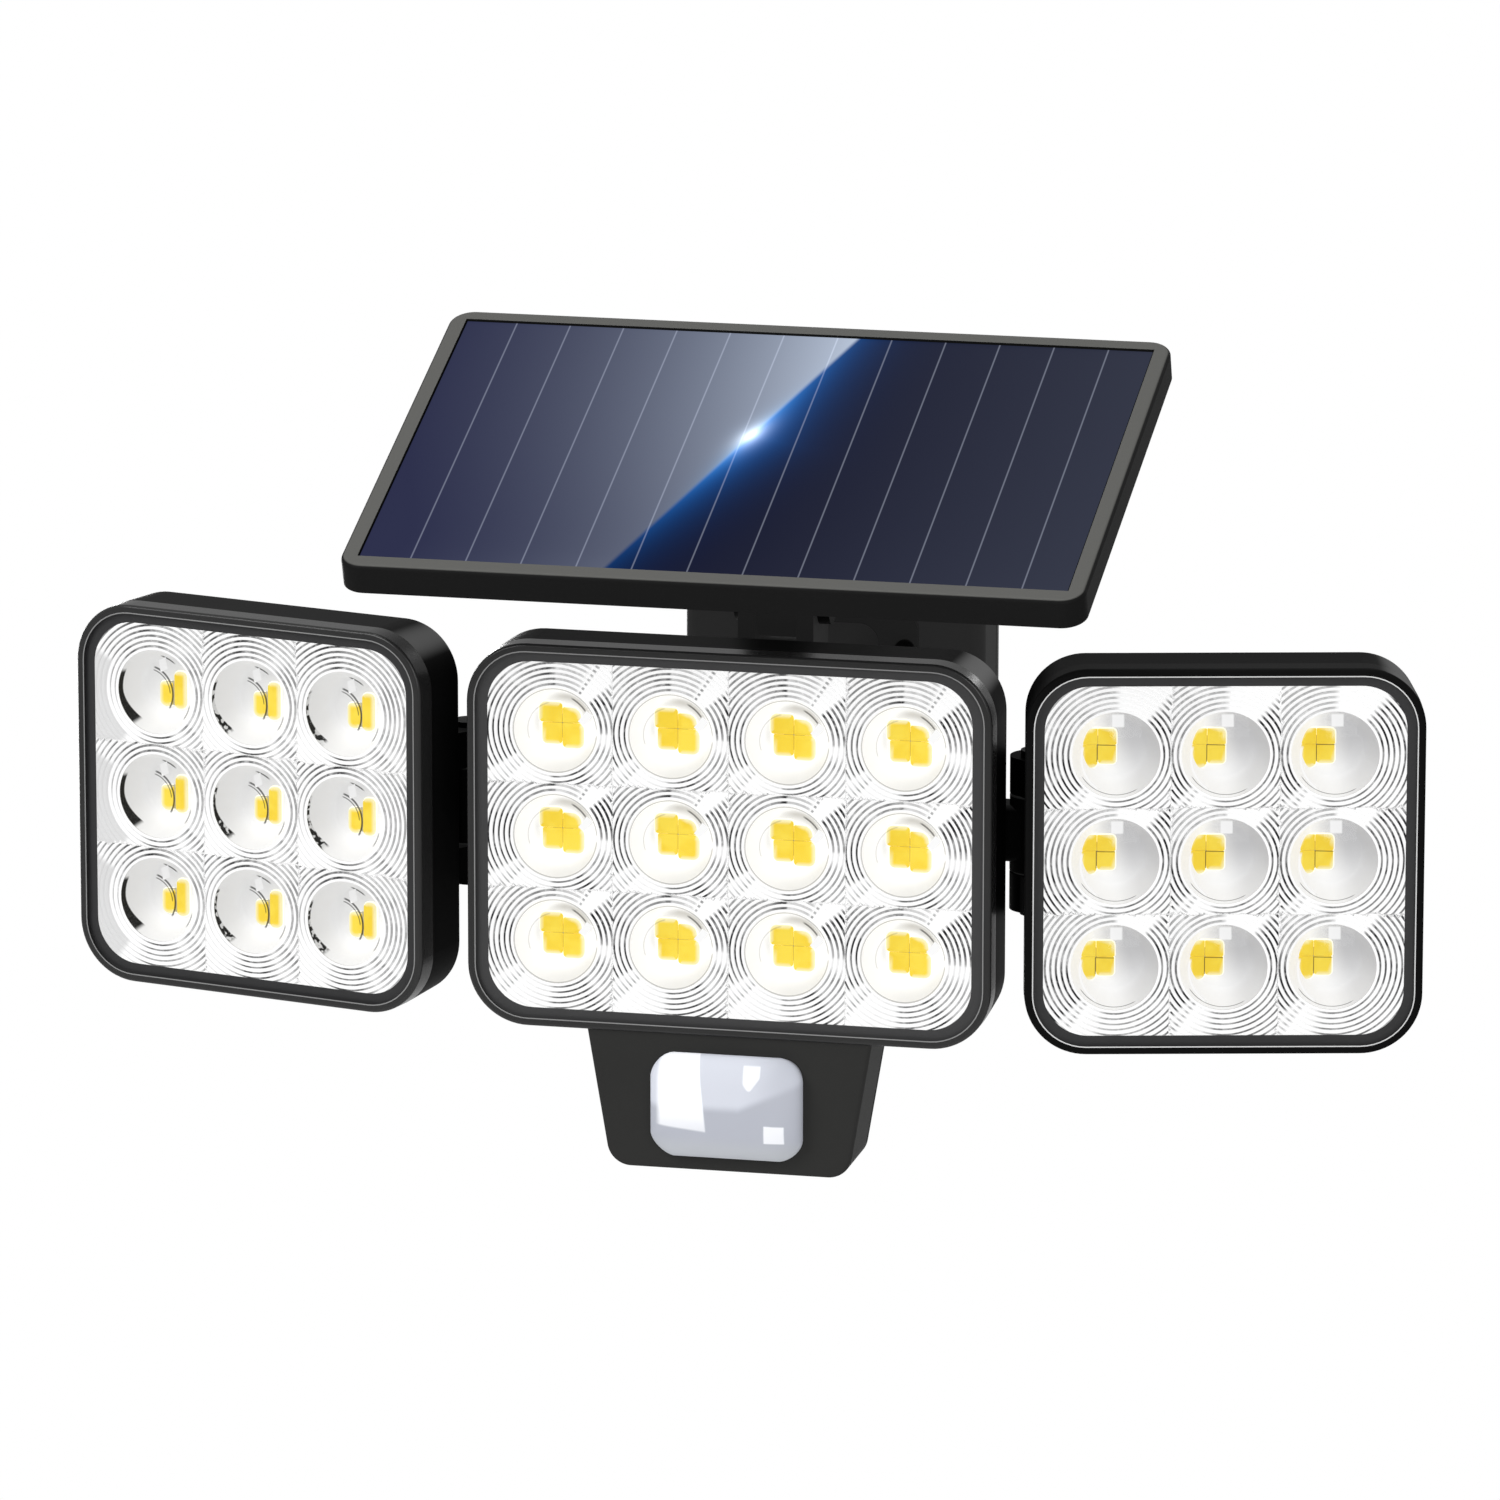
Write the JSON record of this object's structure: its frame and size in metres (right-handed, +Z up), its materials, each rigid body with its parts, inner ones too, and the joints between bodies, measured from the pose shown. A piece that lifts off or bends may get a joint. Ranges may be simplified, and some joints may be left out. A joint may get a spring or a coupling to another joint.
{
  "type": "motion sensor security light",
  "caption": "Wall-mounted solar security light with adjustable lamp heads, a motion sensor below the middle head and a tilting solar panel on top.",
  "frame": {"origin": "on the wall plane, midway between the two wall screw holes, level with the middle of the lamp heads", "axes": "+Y into the wall, +Z up, +X to the right as seen from the front; the lamps face -Y"},
  "size_m": [0.336, 0.1609, 0.1921],
  "materials": {
    "black_plastic": "satin, fine grain",
    "front_ring_plastic": "satin",
    "panel_frame_plastic": "satin",
    "dark_plastic": "fine grain",
    "seal_rubber": "soft",
    "button_rubber": "soft",
    "lens_plastic": "clear, moulded with rings",
    "reflector_plastic": "white",
    "board": "white solder mask",
    "light_chips": "yellow",
    "steel": "zinc plated",
    "washer_plastic": "smooth",
    "battery_sleeve": "shrink sleeve",
    "panel_glass": "clear",
    "cell_blue": "dark blue cells",
    "backing": "lilac grey sheet",
    "milky_plastic": "milky, soft gloss"
  },
  "bodies": {
    "mount": {"battery_cells": "battery_sleeve", "battery_holder": "dark_plastic", "box_screws": "steel", "box_seal": "seal_rubber", "box_shell": "black_plastic", "center_bezel": "front_ring_plastic", "center_gasket": "seal_rubber", "center_led_board": "board", "center_leds": "light_chips", "center_lens_plate": "lens_plastic", "center_reflector": "reflector_plastic", "center_screws": "steel", "center_shell": "black_plastic", "detectors": "steel", "main_board": "board", "main_board_screws": "steel", "neck": "black_plastic", "neck_cover": "black_plastic", "neck_screws": "steel", "panel_hinge_bolt": "steel", "push_switch": "dark_plastic", "sensor_board": "board", "sensor_cover": "black_plastic", "sensor_housing": "black_plastic", "sensor_lens": "milky_plastic", "sensor_screws": "steel", "wall_plate": "dark_plastic"},
    "left_head": {"left_shell": "black_plastic", "left_bezel": "front_ring_plastic", "left_gasket": "seal_rubber", "left_lens_plate": "lens_plastic", "left_reflector": "reflector_plastic", "left_led_board": "board", "left_leds": "light_chips", "left_screws": "steel", "left_swivel_pin": "steel", "left_swivel_washers": "washer_plastic"},
    "right_head": {"right_shell": "black_plastic", "right_bezel": "front_ring_plastic", "right_gasket": "seal_rubber", "right_lens_plate": "lens_plastic", "right_reflector": "reflector_plastic", "right_led_board": "board", "right_leds": "light_chips", "right_screws": "steel", "right_swivel_pin": "steel", "right_swivel_washers": "washer_plastic"},
    "left_arm": {"left_arm": "black_plastic", "left_arm_retainer": "steel"},
    "right_arm": {"right_arm": "black_plastic", "right_arm_retainer": "steel"},
    "panel": {"panel_frame": "panel_frame_plastic", "panel_glass": "panel_glass", "solar_cells": "cell_blue", "panel_backing": "backing", "panel_back": "black_plastic", "panel_stem": "black_plastic", "stem_screws": "steel"},
    "mode_button": {"mode_button": "button_rubber"}
  },
  "joints": [
    {"name": "right_arm_tilt", "type": "hinge", "parent": "mount", "child": "right_arm", "pos_m": [0.03, -0.106, 0], "axis": [1, 0, 0], "range_deg": [-20, 20]},
    {"name": "left_arm_tilt", "type": "hinge", "parent": "mount", "child": "left_arm", "pos_m": [-0.03, -0.106, 0], "axis": [1, 0, 0], "range_deg": [-20, 20]},
    {"name": "right_head_swivel", "type": "hinge", "parent": "right_arm", "child": "right_head", "pos_m": [0.0694, -0.106, 0], "axis": [0, 0, 1], "range_deg": [-9.8, 76.2]},
    {"name": "left_head_swivel", "type": "hinge", "parent": "left_arm", "child": "left_head", "pos_m": [-0.0726, -0.106, 0], "axis": [0, 0, 1], "range_deg": [-76.2, 9.8]},
    {"name": "panel_tilt", "type": "hinge", "parent": "mount", "child": "panel", "pos_m": [0, -0.077, 0.047], "axis": [1, 0, 0], "range_deg": [-25, 15]},
    {"name": "mode_button_press", "type": "slide", "parent": "mount", "child": "mode_button", "axis": [-1, 0, 0], "range_m": [0, 0.0012], "stiffness_N_per_m": 400, "springref_m": -0.001}
  ]
}
